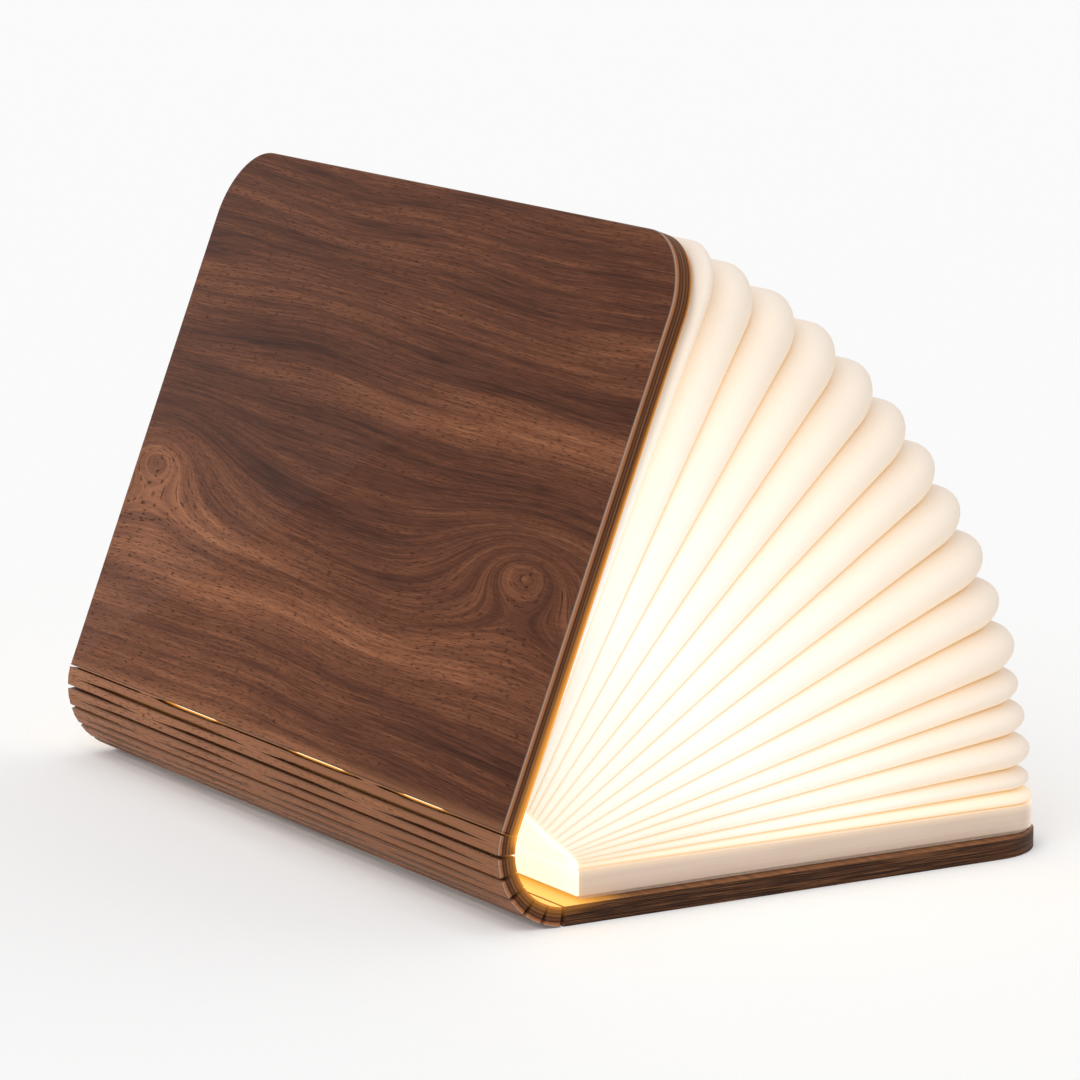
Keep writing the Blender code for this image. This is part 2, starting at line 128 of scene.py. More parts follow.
class Finish:
    """A material with a Principled shader, whose inputs are written as expressions."""

    def __init__(self, name, **constants):
        self.material = bpy.data.materials.new(name)
        self.material.use_nodes = True
        self.shader = self.material.node_tree.nodes["Principled BSDF"]
        for socket, value in constants.items():
            self.shader.inputs[socket.replace("_", " ")].default_value = value

    def put(self, value, socket):
        """Sets a socket to a number or colour, or links a Shade to it."""
        if isinstance(value, Shade):
            self.material.node_tree.links.new(value.socket, socket)
        else:
            socket.default_value = value

    def node(self, kind, settings, values, output=0):
        """Adds a node: first its own settings, then the values or links of its sockets."""
        made = self.material.node_tree.nodes.new("ShaderNode" + kind)
        for name, value in settings.items():
            if name == "stops":
                for index, (place, colour) in enumerate(value):
                    stops = made.color_ramp.elements
                    stop = stops[index] if index < 2 else stops.new(place)
                    stop.position = place
                    stop.color = (*colour, 1)
            else:
                setattr(made, name, value)
        for socket, value in values.items():
            self.put(value, made.inputs[socket])
        return Shade(self, made.outputs[output])

    def math(self, operation, *values):
        return self.node("Math", {"operation": operation}, dict(enumerate(values)))

    def attribute(self, name):
        return self.node("Attribute", {"attribute_name": name}, {}, "Vector")

    def parts(self, vector):
        """The three numbers of a vector."""
        split = self.node("SeparateXYZ", {}, {0: vector})
        return [Shade(self, socket) for socket in split.socket.node.outputs]

    def vector(self, x, y, z):
        return self.node("CombineXYZ", {}, {0: x, 1: y, 2: z})

    def noise(self, vector, scale, detail=2.0, roughness=0.5):
        values = {"Vector": vector, "Scale": scale, "Detail": detail, "Roughness": roughness}
        return self.node("TexNoise", {}, values, "Fac")

    def step(self, value, low, high):
        """0 below low, 1 above high, smooth between them."""
        settings = {"interpolation_type": "SMOOTHSTEP"}
        values = {"Value": value, "From Min": low, "From Max": high}
        return self.node("MapRange", settings, values)

    def ramp(self, value, *stops):
        return self.node("ValToRGB", {"stops": stops}, {"Fac": value})

    def mix(self, share, first, second, how="MIX"):
        settings = {"data_type": "RGBA", "blend_type": how}
        return self.node("Mix", settings, {0: share, 6: first, 7: second}, 2)

    def bump(self, height, distance, strength=1.0):
        values = {"Height": height, "Distance": distance, "Strength": strength}
        return self.node("Bump", {}, values)

    def paint(self, **values):
        """Links expressions to the shader: Base_Color, Roughness, Emission_Color, Normal."""
        for socket, value in values.items():
            self.put(value, self.shader.inputs[socket.replace("_", " ")])


def rgb(red, green, blue):
    """A screen colour, 0 to 255, as the linear colour that a shader takes."""
    screen = np.array([red, green, blue]) / 255
    linear = np.where(screen < 0.04045, screen / 12.92, ((screen + 0.055) / 1.055) ** 2.4)
    return tuple(float(value) for value in linear)


def opaque(colour):
    return (*colour, 1.0)


# %% [markdown]
# ## Studio
# The floor is one pale sheet that fills the picture. A white world gives an even light from all
# sides, and a broad sun from the upper left adds direction and a soft shadow. Floor and world look
# brighter than the light they give, so that the background is white and the wood keeps its colour.

# %% Floor, world and sun
floor_size = 6.0
floor_darkest, floor_lightest = 0.885, 0.905
floor_extra = 0.1
world_light = 0.72
world_seen = 1.0
sun_energy = 1.0
sun_spread = math.radians(50)
sun_tilt = math.radians(42)
sun_turn = math.radians(-52)

floor_mesh = bpy.data.meshes.new("floor")
floor_corners = floor_size * np.array([(-1, -1, 0), (1, -1, 0), (1, 1, 0), (-1, 1, 0)])
floor_mesh.from_pydata(floor_corners.tolist(), [], [(0, 1, 2, 3)])
floor = bpy.data.objects.new("floor", floor_mesh)
bpy.context.scene.collection.objects.link(floor)


def seen_directly(finish):
    """1 for rays of the camera, of reflections and through glass, 0 for rays that light things."""
    kinds = ["Is Camera Ray", "Is Glossy Ray", "Is Transmission Ray"]
    camera_ray, glossy_ray, glass_ray = [finish.node("LightPath", {}, {}, kind) for kind in kinds]
    return finish.math("MINIMUM", camera_ray + glossy_ray + glass_ray, 1)


pale = Finish("studio_floor", Roughness=0.9, Specular_IOR_Level=0.1, Emission_Strength=1.0)
speckle = pale.noise(pale.node("TexCoord", {}, {}, "Object"), 900.0, 2.0)
# A faint random speckle in the floor's own colour.
floor_speckle = pale.ramp(speckle, (0.3, (floor_darkest,) * 3), (0.7, (floor_lightest,) * 3))
added = pale.mix(seen_directly(pale), opaque((0, 0, 0)), opaque((floor_extra,) * 3))
pale.paint(Base_Color=floor_speckle, Emission_Color=added)
floor_mesh.materials.append(pale.material)


class Sky(Finish):
    """The same way of writing for the world, whose shader is its Background node."""

    def __init__(self, name):
        self.material = bpy.data.worlds.new(name)
        self.material.use_nodes = True
        self.shader = self.material.node_tree.nodes["Background"]


sky = Sky("studio")
sky_strength = world_light + seen_directly(sky) * (world_seen - world_light)
sky.paint(Color=opaque((1, 1, 1)), Strength=sky_strength)
bpy.context.scene.world = sky.material

sun_data = bpy.data.lights.new("soft_sun", "SUN")
sun_data.energy = sun_energy
sun_data.angle = sun_spread
sun = bpy.data.objects.new("soft_sun", sun_data)
sun.rotation_euler = (sun_tilt, 0, sun_turn)
bpy.context.scene.collection.objects.link(sun)
bpy.context.scene.view_settings.view_transform = "Standard"
print("studio ready")

# %% [markdown]
# ## The wooden sheet
# Covers and spine are one sheet, so its pieces share one way of naming a place: how far round the
# book from the spine edge of the back cover, how far along the spine, and how deep below the outer
# face. The grain then runs on over every cut, as it does when a laser cuts one board.

# %% Sizes of the sheet
cover_length = 0.215
cover_width = 0.1388
cover_thickness = 0.0046
cover_corner_radius = 0.0183
strip_count = 12
strip_pitch = 0.00236
open_angle = math.radians(68.8)
rest_step = (math.pi - open_angle) / (strip_count + 1)

joints = {joint["name"]: joint for joint in frame["joints"]}
hinge_places = np.array(
    [joints["spine_hinge_%02d" % number]["pos_m"] for number in range(1, strip_count + 2)]
)
back_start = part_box("back_cover")[0].x
half_kerf = back_start - hinge_places[0][0]
half_thickness = cover_thickness / 2
half_length = cover_length / 2
strip_width = strip_pitch - 2 * half_kerf
print("kerf:", round(2000 * half_kerf, 3), "mm wide")


def leaf_start(leaf):
    """Distance round the sheet at which a leaf's hinge lies. Leaf 0 is the back cover."""
    return -half_kerf - (max(leaf, 1) - 1) * strip_pitch


def on_leaf(leaf, around, along, depth):
    """World places on a leaf: hinge + turn * (around - start, depth - half thickness)."""
    hinge = hinge_places[max(leaf, 1) - 1]
    turn = leaf * rest_step
    out = around - leaf_start(leaf)
    rise = depth - half_thickness
    x = hinge[0] + out * np.cos(turn) + rise * np.sin(turn)
    z = hinge[2] - out * np.sin(turn) + rise * np.cos(turn)
    return np.stack([x, along + 0 * x, z], axis=-1)


# %% Meshes from arrays
sharp_angle = math.radians(50)
edge_steps = 4


def grid_faces(rows, columns):
    """Corner numbers of the faces of a grid whose last row joins the first."""
    row = np.arange(rows)[:, None]
    column = np.arange(columns - 1)[None, :]
    following = (row + 1) % rows
    corners = [row * columns + column, following * columns + column]
    corners += [following * columns + column + 1, row * columns + column + 1]
    return np.stack(corners, axis=-1).reshape(-1, 4)


def make_piece(name, places, faces, finishes, kinds=None, **attributes):
    """A mesh piece: places, faces, its finishes, which face has which, and point attributes.
    Faces of up to four corners are shaded smooth; larger ones are flat caps."""
    mesh = bpy.data.meshes.new(name)
    mesh.from_pydata(places.reshape(-1, 3).tolist(), [], [list(face) for face in faces])
    for finish in finishes:
        mesh.materials.append(finish.material)
    if kinds is not None:
        mesh.polygons.foreach_set("material_index", np.asarray(kinds, np.int32))
    for title, values in attributes.items():
        added = mesh.attributes.new(title, "FLOAT_VECTOR", "POINT")
        added.data.foreach_set("vector", np.asarray(values, np.float32).ravel())
    mesh.polygons.foreach_set("use_smooth", [len(face) <= 4 for face in faces])
    mesh.set_sharp_from_angle(angle=sharp_angle)
    piece = bpy.data.objects.new(name, mesh)
    bpy.context.scene.collection.objects.link(piece)
    return piece


def rounded_outline(low, high, half_width, low_radius, high_radius, steps):
    """Round a rectangle, anticlockwise: corner centre + radius * (cos, sin), and (cos, sin)."""
    points = []
    normals = []
    corners = [
        (high, half_width, high_radius, 0),
        (low, half_width, low_radius, 1),
        (low, -half_width, low_radius, 2),
        (high, -half_width, high_radius, 3),
    ]
    for around, along, radius, quarter in corners:
        turn = (quarter + np.linspace(0, 1, steps)) * math.pi / 2
        normal = np.stack([np.cos(turn), np.sin(turn)], axis=-1)
        inward = np.sign([around - (low + high) / 2, along]) * radius
        points.append(np.array([around, along]) - inward + radius * normal)
        normals.append(normal)
    return np.concatenate(points), np.concatenate(normals)


def capped(rows, columns):
    """The faces of a closed grid with a cap on its first and on its last column."""
    sides = grid_faces(rows, columns)
    first = np.arange(rows)[::-1] * columns
    last = np.arange(rows) * columns + columns - 1
    return [*sides.tolist(), first.tolist(), last.tolist()]


def edged_plate(outline, normals, edge, thickness):
    """An edge profile, a flat side with two quarter rounds, carried round an outline:
    place = outline - inset * normal, at each depth of the profile."""
    turn = np.linspace(0, math.pi / 2, edge_steps)
    inset = edge * (1 - np.sin(turn))
    depth = edge * (1 - np.cos(turn))
    inset = np.concatenate([inset, inset[::-1]])
    depth = np.concatenate([depth, thickness - depth[::-1]])
    flat = outline[:, None, :] - inset[None, :, None] * normals[:, None, :]
    return flat, np.broadcast_to(depth, flat.shape[:2])


def make_board(name, leaf, low, high, low_radius, high_radius, edge, steps):
    """A board of the sheet: a plate with softly rounded edges, laid on its leaf. Its outer face is
    veneer, its edge is ply and its inner face is lit."""
    outline, normals = rounded_outline(low, high, half_length, low_radius, high_radius, steps)
    flat, deep = edged_plate(outline, normals, edge, cover_thickness)
    sheet = np.stack([flat[..., 1], flat[..., 0], deep], axis=-1)
    places = on_leaf(leaf, flat[..., 0], flat[..., 1], deep)
    faces = capped(*deep.shape)
    kinds = [1] * (len(faces) - 2) + [0, 2]
    return make_piece(name, places, faces, wood_finishes, kinds, sheet_place=sheet)


# %% [markdown]
# ## Walnut veneer
# The faces are walnut: dark streaks that run along the spine, two eye-shaped figures where the cut
# met a branch, and short dark pores. A wood's figure is a set of contour lines, so one height is
# added up over the board, and a ramp over its noise gives the light and dark bands. An eye is a
# small hill in that height. It is given by its place along the spine, its distance from the front
# cover's spine edge and its size.

# %% Walnut
eyes = [(0.098, 0.060, 0.020), (-0.084, 0.058, 0.017)]
eye_height = 1.5
spine_paleness = 0.5

walnut = Finish("walnut_veneer", Roughness=0.5, Specular_IOR_Level=0.06)
place = walnut.attribute("sheet_place")
along, around, depth = walnut.parts(place)
drift = walnut.noise(walnut.vector(along * 7, around * 16, 0.0), 1.0, 1.0) - 0.5
figure = around * 60 + drift * 0.9
front_middle = leaf_start(strip_count + 1)
for eye_along, eye_out, size in eyes:
    across_eye = (around - (front_middle - eye_out)) / (size * 0.6)
    along_eye = (along - eye_along) / (size * 1.7)
    figure = figure + eye_height / (1 + across_eye ** 2 + along_eye ** 2)
bands = walnut.noise(walnut.vector(along * 4, figure, 0.3), 1.0, 3.0, 0.55)
lines = walnut.noise(walnut.vector(along * 9, figure * 6, 1.7), 1.2, 4.0, 0.7)
threads = walnut.noise(walnut.vector(along * 40, figure * 40, 2.9), 1.0, 3.0, 0.65)
fibres = walnut.noise(walnut.vector(along * 130, around * 2600, 0.0), 1.0, 2.0)
pores = walnut.noise(walnut.vector(along * 330, figure * 62, 4.0), 1.0, 2.0, 0.4)
pore_mask = walnut.step(pores, 0.58, 0.66) * walnut.step(lines + bands, 0.86, 1.06)
tone = bands * 0.44 + lines * 0.26 + threads * 0.20 + fibres * 0.10
veneer = walnut.ramp(
    tone,
    (0.36, rgb(44, 24, 16)),
    (0.43, rgb(68, 38, 26)),
    (0.50, rgb(98, 58, 40)),
    (0.57, rgb(128, 80, 55)),
    (0.66, rgb(170, 112, 78)),
)
on_spine = walnut.step(around, front_middle - 0.004, front_middle + 0.001)
on_spine = on_spine * (1 - walnut.step(around, -0.001, 0.001))
veneer = walnut.mix(on_spine * spine_paleness, veneer, opaque(rgb(192, 132, 94)))
veneer = walnut.mix(pore_mask * 0.6, veneer, opaque(rgb(34, 19, 14)))
relief = fibres * 0.35 - pore_mask * 0.65
walnut.paint(Base_Color=veneer, Normal=walnut.bump(relief, 0.00006))
walnut.paint(Roughness=0.46 + pore_mask * 0.25)
print("veneer with", len(walnut.material.node_tree.nodes), "nodes")

# %% [markdown]
# ## Laser-cut edges and the lit inner face
# A laser leaves the plies brown, with lighter ones between. A thin pale line next to the outer face
# is a painted highlight on the veneer's rounded edge. The back cover's edge is darker and browner,
# the others hardly. The inner plies catch light from the paper, most of all low down on the front
# cover, and so does the inner face near the spine, which is a warm orange yellow there.

# %% Plywood edges and inner face
edge_darkening_elsewhere = 0.2
back_edge_darkening = 1.0
glow_reach = 0.17
glow_at_top = 0.15
glow_lost_in_bend = 0.7

ply = Finish("plywood_edge", Roughness=0.55, Specular_IOR_Level=0.1, Emission_Strength=1.0)
place = ply.attribute("sheet_place")
along, around, depth = ply.parts(place)
wander = ply.noise(ply.vector(along * 26, around * 26, depth * 500), 1.0, 3.0) - 0.5
layer = depth / cover_thickness + wander * 0.07
# Painted light in this ramp: the pale stop at 0.05 is a highlight on the veneer's edge, and the orange last stop
# is the paper's light on the innermost ply.
ply_colour = ply.ramp(
    layer,
    (0.00, rgb(104, 72, 56)),
    (0.05, rgb(184, 168, 156)),
    (0.09, rgb(190, 124, 80)),
    (0.20, rgb(164, 104, 66)),
    (0.26, rgb(64, 36, 23)),
    (0.40, rgb(112, 70, 44)),
    (0.46, rgb(56, 32, 19)),
    (0.54, rgb(142, 92, 56)),
    (0.62, rgb(64, 36, 23)),
    (0.74, rgb(124, 76, 44)),
    (0.80, rgb(66, 38, 22)),
    (1.00, rgb(206, 126, 50)),
)
grain = ply.noise(ply.vector(along * 60, around * 60, depth * 5200), 1.0, 4.0, 0.65)
# A darker, streaked edge colour, mixed in a little on every edge and fully on the back cover's edge.
dark_edge_colour = ply.ramp(
    grain,
    (0.36, rgb(34, 20, 13)),
    (0.50, rgb(66, 41, 27)),
    (0.62, rgb(114, 76, 49)),
)
on_back = ply.step(around, -0.0004, 0.0004)
edge_darkening = on_back * (back_edge_darkening - edge_darkening_elsewhere) + edge_darkening_elsewhere
ply_colour = ply.mix(edge_darkening, ply_colour, dark_edge_colour)
away = ply.math("MAXIMUM", front_middle - around, around * 10)
low_down = 1 - ply.step(away, 0.0, glow_reach)
inner_plies = ply.step(layer, 0.92 - low_down * 0.5, 1.0)
round_bend = ply.step(around, front_middle, front_middle + 0.004)
glow = inner_plies * (low_down * (1 - glow_at_top) + glow_at_top)
glow = glow * (1 - round_bend * glow_lost_in_bend)
glow_colour = ply.mix(glow, opaque((0, 0, 0)), opaque((0.80, 0.32, 0.04)))
ply.paint(Base_Color=ply_colour, Emission_Color=glow_colour)
ply.paint(Normal=ply.bump(grain, 0.0001))

lit_side = Finish("lit_inner_face", Roughness=0.55, Emission_Strength=1.0)
along, around = lit_side.parts(lit_side.attribute("sheet_place"))[:2]
near_spine = lit_side.step(around, front_middle - 0.012, front_middle)
near_spine = near_spine * (1 - lit_side.step(around, 0.002, 0.02))
streaks = lit_side.noise(lit_side.vector(along * 20, around * 500, 0.0), 1.0, 3.0)
inner_colour = lit_side.ramp(streaks, (0.35, rgb(98, 60, 34)), (0.65, rgb(140, 88, 50)))
hottest = 1 - lit_side.step(around, 0.0, 0.010)
warm = lit_side.mix(hottest, opaque((0.80, 0.36, 0.03)), opaque((0.96, 0.58, 0.10)))
inner_glow = lit_side.mix(near_spine, opaque((0.01, 0.004, 0.0)), warm)
lit_side.paint(Base_Color=inner_colour, Emission_Color=inner_glow)
wood_finishes = [walnut, ply, lit_side]

# %% [markdown]
# ## Covers and strips
# Each board is its outline with a softly rounded edge profile carried round it. The boards ride on
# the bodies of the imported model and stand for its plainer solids.

# %% Boards of the sheet
cut_corner = 0.0004
cover_edge, cover_steps = 0.00025, 20
strip_corner = 0.00008
strip_edge, strip_steps = 0.00006, 3

front_start = front_middle - half_kerf
fore_side = front_start - cover_width
back_board = make_board(
    "back_cover_board",
    leaf=0,
    low=0.0,
    high=cover_width,
    low_radius=cut_corner,
    high_radius=cover_corner_radius,
    edge=cover_edge,
    steps=cover_steps,
)
front_board = make_board(
    "front_cover_board",
    leaf=strip_count + 1,
    low=fore_side,
    high=front_start,
    low_radius=cover_corner_radius,
    high_radius=cut_corner,
    edge=cover_edge,
    steps=cover_steps,
)
boards = [(back_board, "base", "back_cover"), (front_board, "front", "front_cover")]
for number in range(1, strip_count + 1):
    high = leaf_start(number) - half_kerf
    strip = make_board(
        "strip_board_%02d" % number,
        leaf=number,
        low=high - strip_width,
        high=high,
        low_radius=strip_corner,
        high_radius=strip_corner,
        edge=strip_edge,
        steps=strip_steps,
    )
    boards.append((strip, "strip_%02d" % number, "spine_strip_%02d" % number))
for board, body, node in boards:
    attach(board, body)
    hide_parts(node)
print("boards:", len(boards))

# %% [markdown]
# ## Paper folds
# The bellows is a row of closed rings, each folded to the next at a crease. Between two creases the
# paper bulges outwards, hardly at all at the spine and most at the fore edge. Every fold is one
# surface with two parameters: the place round the ring, and the share of the way from the lower
# crease to the upper one. It is made in place between its two creases, as the lamp stands open.

# %% Sizes of the folds
# Degrees of the opening that each fold takes, grouped by the kerf that it opens with.
kerf_fold_shares = [
    (1.0, 1.9, 3.4), (3.3, 3.3), (4.9,), (4.7,), (5.2,), (5.2,), (5.3,), (5.4,), (5.6,), (5.7,),
    (5.6,), (5.7,), (2.6,),
]
# How thick each fold is in the shut lamp, beside the others.
stack_shares = np.array([2.4, 2.0, 1.6, 1.3] + [1.0] * 11 + [3.0])
page_spine_setback = 0.0055
fold_width = 0.1300
fold_half_length = 0.1030
fold_corner_radius = 0.0090
spine_corner_radius = 0.0015
fold_bulge = 0.0074
start_bulge_share = 0.05
fullness_power = 0.6
last_fullness = 0.9
reach_power = 1.2
rounding_power = 0.7
crease_inset = 0.0040
small_corner_steps = 4
large_corner_steps = 12
side_steps = 18
profile_steps = 15
paper_thickness = 0.0003
seat_gap = 0.0003
endpaper_thickness = 0.0005
front_fold_gap = 0.0003
share_sum = sum(map(sum, kerf_fold_shares))
block_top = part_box("page_block")[1].z


# %% Creases of the bellows
def turned(points, angle):
    """(x, z) points turned from X towards Z."""
    cosine, sine = np.cos(angle), np.sin(angle)
    x = cosine * points[..., 0] - sine * points[..., 1]
    z = sine * points[..., 0] + cosine * points[..., 1]
    return np.stack([x, z], axis=-1)


def closed_chain():
    """The hinge points of the shut lamp: each is one pitch on from the last, in the direction
    that the sum of all bends so far gives."""
    bends = [rest_step + open_angle * sum(shares) / share_sum for shares in kerf_fold_shares]
    turns = np.cumsum(bends)[:-1]
    steps = strip_pitch * np.stack([-np.cos(turns), np.sin(turns)], axis=-1)
    first = np.array([[-half_kerf, half_thickness]])
    return np.concatenate([first, first + np.cumsum(steps, axis=0)])


def open_creases():
    """Inner end and angle of every crease, as the lamp stands open."""
    shut = closed_chain()
    lowest = block_top + seat_gap
    highest = shut[-1][1] - half_thickness - seat_gap - endpaper_thickness - front_fold_gap
    levels = lowest + (highest - lowest) * np.cumsum(stack_shares) / stack_shares.sum()
    ends = [np.array([back_start + page_spine_setback, block_top])]
    angles = [0.0]
    for kerf, shares in enumerate(kerf_fold_shares):
        for share in shares:
            angles.append(angles[-1] + open_angle * share / share_sum)
            arm = np.array([page_spine_setback, levels[len(angles) - 2]]) - shut[kerf]
            ends.append(hinge_places[kerf][[0, 2]] + turned(arm, angles[-1]))
    return np.array(ends), np.array(angles)


crease_ends, crease_angles = open_creases()
fold_count = len(crease_angles) - 1
print("folds:", fold_count, "opening", round(math.degrees(crease_angles[-1]), 2), "degrees")


# %% The ring and its bulge
def ring_stations():
    """Round one fold: straight sides with round corners, each point with its outward direction."""
    small, large = spine_corner_radius, fold_corner_radius
    corners = [
        (small, -1, small, 180, small_corner_steps),
        (fold_width - large, -1, large, 270, large_corner_steps),
        (fold_width - large, 1, large, 0, large_corner_steps),
        (small, 1, small, 90, small_corner_steps),
    ]
    reach, across, out = [], [], []
    for index, (centre, side, radius, start, steps) in enumerate(corners):
        turn = np.radians(start + np.linspace(0, 90, steps))
        direction = np.stack([np.cos(turn), np.sin(turn)], axis=-1)
        reach.append(centre + radius * direction[:, 0])
        across.append(side * (fold_half_length - radius) + radius * direction[:, 1])
        out.append(direction)
        following, to_side, to_radius = corners[(index + 1) % 4][:3]
        share = np.linspace(0, 1, side_steps)[1:-1]
        arrive = np.radians(start + 90)
        begin = np.array([reach[-1][-1], across[-1][-1]])
        end = np.array(
            [
                following + to_radius * np.cos(arrive),
                to_side * (fold_half_length - to_radius) + to_radius * np.sin(arrive),
            ]
        )
        line = begin + share[:, None] * (end - begin)
        reach.append(line[:, 0])
        across.append(line[:, 1])
        out.append(np.broadcast_to([np.cos(arrive), np.sin(arrive)], line.shape))
    return np.concatenate(reach), np.concatenate(across), np.concatenate(out)


ring_reach, ring_across, ring_out = ring_stations()
ring_walk = np.cumsum(np.hypot(np.diff(ring_reach, append=0), np.diff(ring_across, append=0)))
print("stations round a fold:", len(ring_reach))


def make_fold(number):
    """One fold. At share u the angle and the inner end lie between those of its two creases. The
    point is pushed out by bulge * (1 - (2u - 1) ** 2) ** power, less the inset of the creases. A
    fold that opens little bulges little. The creases at the block and the cover have no inset."""
    u = (1 - np.cos(np.linspace(0, math.pi, profile_steps))) / 2
    u = 0.5 * u + 0.5 * np.linspace(0, 1, profile_steps)
    low, high = crease_ends[number - 1], crease_ends[number]
    first, last = crease_angles[number - 1], crease_angles[number]
    start_pitch = np.linalg.norm(high - low)
    reach = ring_reach[:, None]
    out_share = np.clip(reach / fold_width, 0, 1)
    fullness = ((last - first) / np.diff(crease_angles).max()) ** fullness_power
    if number == fold_count:
        fullness = last_fullness
    bulge = fold_bulge * fullness * out_share ** reach_power + start_bulge_share * start_pitch
    rounding = np.clip(1 - (2 * u - 1) ** 2, 0, 1) ** rounding_power
    folds_below = number - 1 + u
    from_ends = np.minimum(folds_below / 2, fold_count - folds_below)
    inset = crease_inset * out_share * np.clip(from_ends, 0, 1) ** rounding_power
    height = bulge * rounding - inset
    angle = first + u * (last - first)
    end = low + u[:, None] * (high - low)
    out = reach + height * ring_out[:, :1]
    flat = end + turned(np.stack([out, 0 * out], axis=-1), angle)
    along = ring_across[:, None] + height * ring_out[:, 1:]
    places = np.stack([flat[..., 0], along, flat[..., 1]], axis=-1)
    pitch = start_pitch + reach * (last - first)
    crease = np.minimum(u, 1 - u) * pitch
    full_u = np.broadcast_to(u, crease.shape)
    walk = ring_walk[:, None] + 0 * full_u
    paper_place = np.stack([out_share + 0 * full_u, full_u, crease], axis=-1)
    lot = np.full(crease.shape, (number - 0.5) / fold_count)
    paper_spot = np.stack([walk, full_u * pitch, lot], axis=-1)
    fold = make_piece(
        "fold_%02d_paper" % number,
        places,
        grid_faces(*crease.shape),
        [paper],
        paper_place=paper_place,
        paper_spot=paper_spot,
    )
    return fold, full_u


def bend_between(piece):
    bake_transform(piece)


# %% [markdown]
# ## Lit paper
# The paper is a warm white sheet with light behind it. Near the spine it is lit to white, and
# yellower close to the block. Farther out each fold is bright below its upper crease and turns tan
# towards the lower one, where two layers lie behind each other, and its rounded tip is hardly lit.

# %% Paper finish
paper = Finish("lit_paper", Roughness=0.7, Specular_IOR_Level=0.15, Emission_Strength=1.0)
reach, share, crease = paper.parts(paper.attribute("paper_place"))
walk, rise, lot = paper.parts(paper.attribute("paper_spot"))
cloud = paper.noise(paper.vector(walk * 45, rise * 60, lot * 7), 1.0, 2.0) - 0.5
fine = paper.noise(paper.vector(walk * 900, rise * 900, lot * 7), 1.0, 3.0)
far_out = reach + cloud * 0.06
light = paper.ramp(
    far_out,
    (0.00, (0.40, 0.36, 0.25)),
    (0.12, (0.42, 0.40, 0.33)),
    (0.38, (0.44, 0.43, 0.40)),
    (0.62, (0.41, 0.37, 0.30)),
    (0.84, (0.30, 0.23, 0.16)),
    (0.95, (0.19, 0.135, 0.09)),
    (1.00, (0.13, 0.09, 0.065)),
)
shadow_side = (1 - paper.step(share, 0.0, 0.55)) * paper.step(reach, 0.20, 0.85)
light = paper.mix(shadow_side * 0.6, light, opaque((0.27, 0.17, 0.06)))
near_block = (1 - paper.step(lot, 0.03, 0.40)) * (1 - paper.step(reach, 0.1, 0.6))
light = paper.mix(near_block * 0.7, light, opaque((0.30, 0.22, 0.09)))
lowest = 1 - paper.step(lot, 0.035, 0.09)
light = paper.mix(lowest * 0.6, light, opaque((0.42, 0.30, 0.14)))
# Painted shade along every crease: the sheet's colour and its light are darkened in a thin line there.
line = (1 - paper.step(crease, 0.0, 0.0006)) * paper.step(reach, 0.006, 0.02)
sheet = paper.mix(line * 0.5, opaque(rgb(226, 217, 206)), opaque(rgb(208, 180, 150)))
light = paper.mix(line * 0.4, light, opaque((0.27, 0.17, 0.05)))
spine_wall = 1 - paper.step(reach, 0.003, 0.011)
light = paper.mix(spine_wall, light, opaque((0.95, 0.88, 0.66)))
paper.paint(Base_Color=sheet, Emission_Color=light, Normal=paper.bump(fine, 0.00004, 0.5))

# %% Folds
fold_bodies = ["base"]
for kerf, shares in enumerate(kerf_fold_shares, 1):
    for index in range(len(shares)):
        is_last = index == len(shares) - 1
        strip_body = "front" if kerf == len(kerf_fold_shares) else "strip_%02d" % kerf
        fold_bodies.append(strip_body if is_last else "fold_%02d" % len(fold_bodies))
for number in range(1, fold_count + 1):
    fold, share_of_way = make_fold(number)
    wall = fold.modifiers.new("paper_wall", "SOLIDIFY")
    wall.thickness = paper_thickness
    wall.offset = -1
    bend_between(fold)
    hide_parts("page_fold_%02d" % number)
print("folds carried by:", fold_bodies)

# %% [markdown]
# ## Bridges of the spine
# The rows of slits don't cut the spine apart: short bridges of wood are left, two in every other
# row, and three in the rows between, at the ends and near the middle. The wood bends there, so each
# slit is a long wedge that closes towards its bridges. A bridge is two tapering tongues, made in
# place between the two boards that it joins. The slit along the front cover opens least: it is
# narrow, and light comes through it in three short lines.

# %% Shape of the bridges
bridge_length = 0.0050
bridge_taper = 0.030
short_taper = 0.012
widest_slit = 0.93
narrow_slit = 0.42
end_open_rows = (-0.048, 0.064)
closed_rows = (-half_length + bridge_length / 2, 0.008, half_length - bridge_length / 2)
thin_share = 0.01
light_lines = [(-0.085, -0.060), (-0.039, -0.009), (0.025, 0.059)]
light_fade = 0.004
light_slant = 0.0072
tongue_steps = 61


def in_light_lines(walk):
    """1 inside the three light lines, falling to 0 at their ends."""
    lines = np.array(light_lines)
    inside = np.minimum(walk[:, None] - lines[:, 0], lines[:, 1] - walk[:, None])
    return np.clip(inside.max(axis=1) / light_fade, 0, 1)


def slit_shares(kerf, middle, walk):
    """Open share of the kerf at the outer and at the inner side, round one bridge. It grows from
    the bridge as sin(distance / taper). The last slit is open at its inner side only where light
    comes through, a little farther along, because the light comes out at a slant."""
    is_last = kerf > strip_count
    taper = short_taper if is_last else bridge_taper
    beyond = np.clip((np.abs(walk - middle) - bridge_length / 2) / taper, 0, 1)
    slit = np.sin(beyond * math.pi / 2)
    outer = inner = np.minimum(widest_slit, slit)
    if is_last:
        widest = narrow_slit + (widest_slit - narrow_slit) * in_light_lines(walk)
        outer = np.minimum(widest, slit)
        inner = inner * in_light_lines(walk - light_slant)
    return np.stack([outer, outer, inner, inner])


